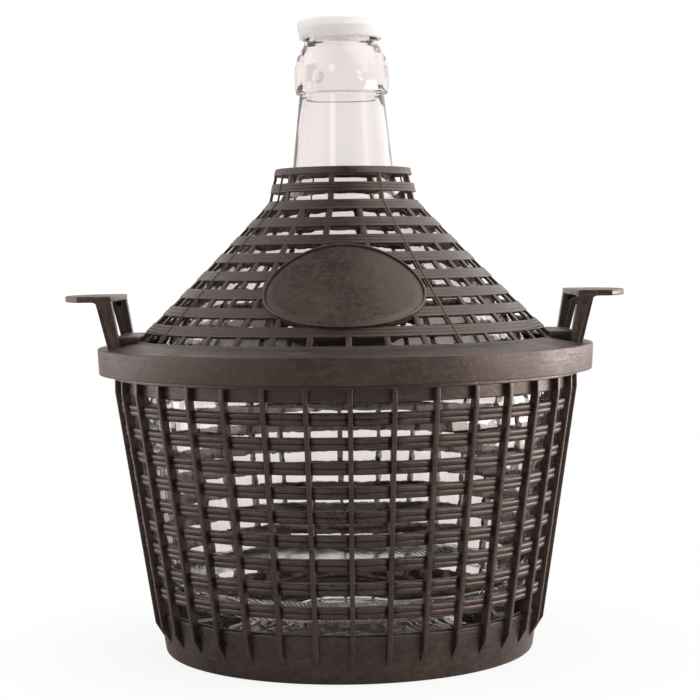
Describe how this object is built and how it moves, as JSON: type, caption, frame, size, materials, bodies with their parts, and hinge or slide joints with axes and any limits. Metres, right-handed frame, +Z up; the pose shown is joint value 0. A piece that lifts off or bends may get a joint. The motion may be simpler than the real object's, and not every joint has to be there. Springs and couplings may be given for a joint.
{
  "type": "demijohn",
  "caption": "Round clear glass demijohn in a slatted plastic basket with a conical openwork cover, two side handles and a press-on cap.",
  "frame": {"origin": "middle of the underside of the basket's foot ring", "axes": "+Z up along the bottle's axis, -Y towards the oval plate of the cover, handles at -X and +X"},
  "size_m": [0.2902, 0.257, 0.3259],
  "materials": {
    "clear_glass": "clear polished glass",
    "cap_polyethylene": "translucent white satin",
    "basket_plastic": "dark brown satin moulding",
    "cover_plastic": "dark brown satin moulding",
    "left_handle_plastic": "dark brown satin moulding",
    "right_handle_plastic": "dark brown satin moulding"
  },
  "bodies": {
    "vessel": {"bottle": "clear_glass", "lower_basket": "basket_plastic", "upper_cover": "cover_plastic", "handle_left": "left_handle_plastic", "handle_right": "right_handle_plastic"},
    "closure": {"cap": "cap_polyethylene"}
  },
  "joints": [
    {"name": "cap_pull", "type": "slide", "parent": "vessel", "child": "closure", "axis": [0, 0, 1], "range_m": [0, 0.03]}
  ]
}
